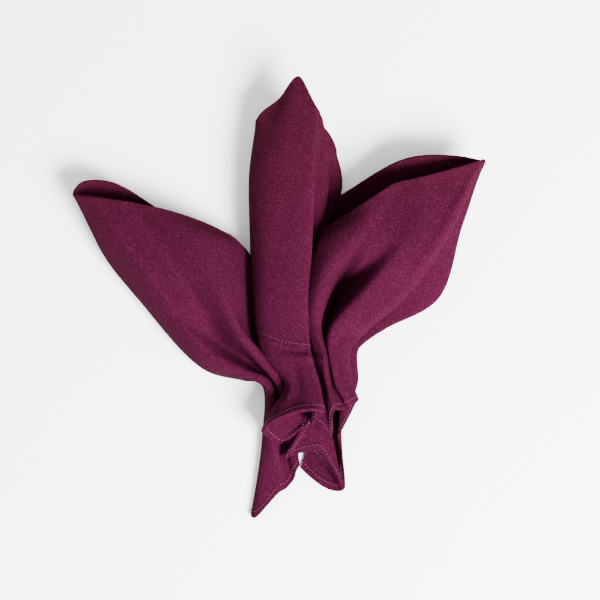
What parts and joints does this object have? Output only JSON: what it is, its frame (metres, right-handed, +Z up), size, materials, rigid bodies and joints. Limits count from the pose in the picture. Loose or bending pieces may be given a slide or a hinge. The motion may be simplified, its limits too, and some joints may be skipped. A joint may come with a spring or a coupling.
{
  "type": "guest towel",
  "caption": "A small linen guest towel folded double and gathered at a waist, with three hollow lobes flaring out above and hemmed tails below.",
  "frame": {"origin": "on the table, under the centre of the gathered towel's box", "axes": "X to the right across the lobes, Y from the tails up to the tip of the centre lobe, Z up off the table"},
  "size_m": [0.2688, 0.2848, 0.0442],
  "materials": {
    "linen": "matt plum linen in a plain weave"
  },
  "bodies": {
    "root": {"towel": "linen"}
  },
  "joints": []
}
